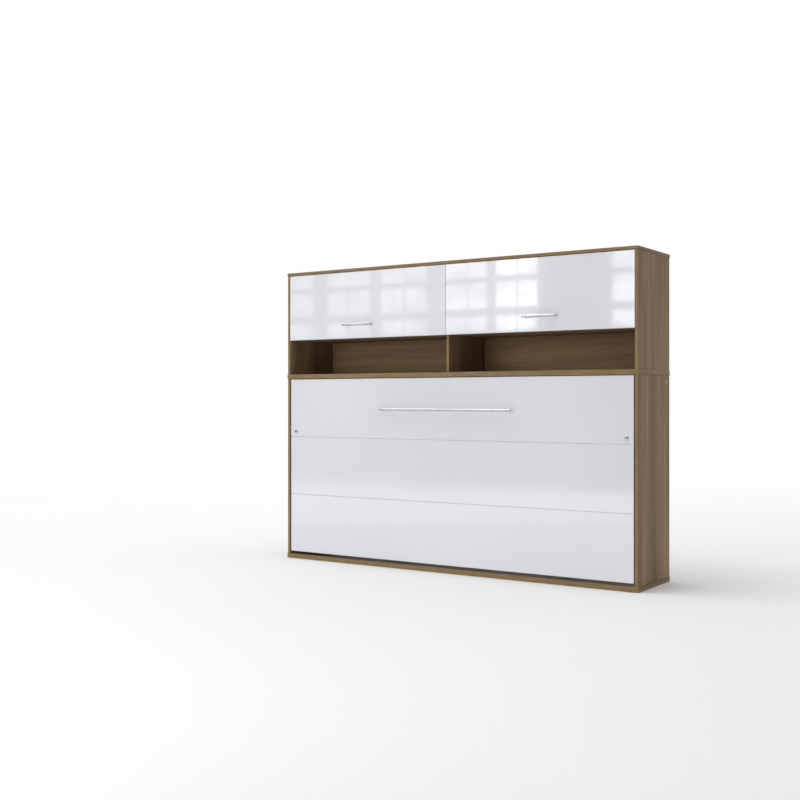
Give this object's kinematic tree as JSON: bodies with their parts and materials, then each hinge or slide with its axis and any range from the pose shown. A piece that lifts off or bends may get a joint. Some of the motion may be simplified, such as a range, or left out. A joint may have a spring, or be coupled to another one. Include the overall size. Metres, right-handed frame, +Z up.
{
  "type": "murphy wall bed",
  "caption": "Wood-grain wall cabinet with a sideways folding single bed behind a white gloss front, open niches above it and flip-up gloss flaps.",
  "frame": {"origin": "middle of the underside of the bottom board, halfway between the front edges and the wall side of the cabinet sides", "axes": "+X along the cabinet's length to the right as seen from the front, +Y from the front towards the wall, +Z up"},
  "size_m": [2.152, 0.4515, 1.65],
  "materials": {
    "wood_grain": "satin",
    "dark_block": "matte",
    "beech": "satin",
    "zinc_steel": "satin",
    "cap_plastic": "matte",
    "buffer_rubber": "matte",
    "grey_steel": "satin",
    "white_gloss": "gloss",
    "frame_steel": "satin",
    "black_plastic": "matte",
    "mattress_cloth": "matte",
    "webbing": "matte",
    "chrome": "polished",
    "black_paint": "gloss"
  },
  "bodies": {
    "cabinet": {"bottom_board": "wood_grain", "lower_left_side": "wood_grain", "lower_right_side": "wood_grain", "middle_board": "wood_grain", "upper_left_side": "wood_grain", "upper_right_side": "wood_grain", "top_board": "wood_grain", "centre_divider": "wood_grain", "left_shelf": "wood_grain", "right_shelf": "wood_grain", "upper_back_panel": "wood_grain", "rear_rail": "wood_grain", "wall_blocks": "dark_block", "dowels": "beech", "rail_screws": "zinc_steel", "screw_caps": "cap_plastic", "cam_locks": "cap_plastic", "closing_buffers": "buffer_rubber", "left_pivot_bracket": "grey_steel", "right_pivot_bracket": "grey_steel", "flap_hinge_arms": "grey_steel", "plate_screws": "zinc_steel"},
    "bed": {"front_board_lower": "white_gloss", "front_board_middle": "white_gloss", "front_board_upper": "white_gloss", "frame_top_rail": "frame_steel", "frame_bottom_rail": "frame_steel", "frame_left_end_rail": "frame_steel", "frame_right_end_rail": "frame_steel", "frame_cross_rails": "frame_steel", "slats": "beech", "slat_holders": "black_plastic", "mattress": "mattress_cloth", "mattress_straps": "webbing", "strap_buckles": "grey_steel", "left_pivot_plate": "grey_steel", "right_pivot_plate": "grey_steel", "pivot_bushes": "cap_plastic", "leg_bushes": "black_plastic", "bed_handle_bar": "chrome", "bed_handle_posts": "chrome", "handle_screws": "zinc_steel"},
    "left_leg": {"left_leg": "chrome"},
    "left_spring_cylinder": {"left_gas_spring_cylinder": "black_paint"},
    "left_spring_rod": {"left_gas_spring_rod": "chrome"},
    "left_flap": {"left_flap_door": "white_gloss", "left_flap_handle": "chrome", "left_hinge_pins": "chrome", "left_strut_bracket": "grey_steel"},
    "left_strut_cylinder": {"left_flap_strut_cylinder": "black_paint"},
    "left_strut_rod": {"left_flap_strut_rod": "chrome"},
    "right_leg": {"right_leg": "chrome"},
    "right_spring_cylinder": {"right_gas_spring_cylinder": "black_paint"},
    "right_spring_rod": {"right_gas_spring_rod": "chrome"},
    "right_flap": {"right_flap_door": "white_gloss", "right_flap_handle": "chrome", "right_hinge_pins": "chrome", "right_strut_bracket": "grey_steel"},
    "right_strut_cylinder": {"right_flap_strut_cylinder": "black_paint"},
    "right_strut_rod": {"right_flap_strut_rod": "chrome"}
  },
  "joints": [
    {"name": "bed_fold", "type": "hinge", "parent": "cabinet", "child": "bed", "pos_m": [0, -0.1475, 0.28], "axis": [1, 0, 0], "range_deg": [0, 90]},
    {"name": "left_leg_drop", "type": "slide", "parent": "bed", "child": "left_leg", "axis": [0, -1, 0], "range_m": [0, 0.2155]},
    {"name": "left_spring_swing", "type": "hinge", "parent": "cabinet", "child": "left_spring_cylinder", "pos_m": [-1.0435, -0.0275, 0.44], "axis": [1, 0, 0], "range_deg": [0, 12.53]},
    {"name": "left_spring_stroke", "type": "slide", "parent": "left_spring_cylinder", "child": "left_spring_rod", "axis": [0, 0.4472, 0.8944], "range_m": [0, 0.1036]},
    {"name": "left_flap_lift", "type": "hinge", "parent": "cabinet", "child": "left_flap", "pos_m": [-0.529, -0.2, 1.618], "axis": [-1, 0, 0], "range_deg": [0, 90]},
    {"name": "left_strut_swing", "type": "hinge", "parent": "cabinet", "child": "left_strut_cylinder", "pos_m": [-1.045, -0.1, 1.418], "axis": [1, 0, 0], "range_deg": [0, 17.38]},
    {"name": "left_strut_stroke", "type": "slide", "parent": "left_strut_cylinder", "child": "left_strut_rod", "axis": [0, -0.4129, 0.9108], "range_m": [0, 0.0607]},
    {"name": "right_leg_drop", "type": "slide", "parent": "bed", "child": "right_leg", "axis": [0, -1, 0], "range_m": [0, 0.2155]},
    {"name": "right_spring_swing", "type": "hinge", "parent": "cabinet", "child": "right_spring_cylinder", "pos_m": [1.0435, -0.0275, 0.44], "axis": [1, 0, 0], "range_deg": [0, 12.53]},
    {"name": "right_spring_stroke", "type": "slide", "parent": "right_spring_cylinder", "child": "right_spring_rod", "axis": [0, 0.4472, 0.8944], "range_m": [0, 0.1036]},
    {"name": "right_flap_lift", "type": "hinge", "parent": "cabinet", "child": "right_flap", "pos_m": [0.529, -0.2, 1.618], "axis": [-1, 0, 0], "range_deg": [0, 90]},
    {"name": "right_strut_swing", "type": "hinge", "parent": "cabinet", "child": "right_strut_cylinder", "pos_m": [1.045, -0.1, 1.418], "axis": [1, 0, 0], "range_deg": [0, 17.38]},
    {"name": "right_strut_stroke", "type": "slide", "parent": "right_strut_cylinder", "child": "right_strut_rod", "axis": [0, -0.4129, 0.9108], "range_m": [0, 0.0607]}
  ],
  "couplings": [
    {"joint": "left_leg_drop", "follows": "bed_fold", "m_per_rad": 0.13719},
    {"joint": "left_spring_swing", "follows": "bed_fold", "ratio": 0.13921},
    {"joint": "left_spring_stroke", "follows": "bed_fold", "m_per_rad": 0.065829},
    {"joint": "left_strut_swing", "follows": "left_flap_lift", "ratio": 0.19304},
    {"joint": "left_strut_stroke", "follows": "left_flap_lift", "m_per_rad": 0.038532},
    {"joint": "right_leg_drop", "follows": "bed_fold", "m_per_rad": 0.13719},
    {"joint": "right_spring_swing", "follows": "bed_fold", "ratio": 0.13921},
    {"joint": "right_spring_stroke", "follows": "bed_fold", "m_per_rad": 0.065829},
    {"joint": "right_strut_swing", "follows": "right_flap_lift", "ratio": 0.19304},
    {"joint": "right_strut_stroke", "follows": "right_flap_lift", "m_per_rad": 0.038532}
  ]
}
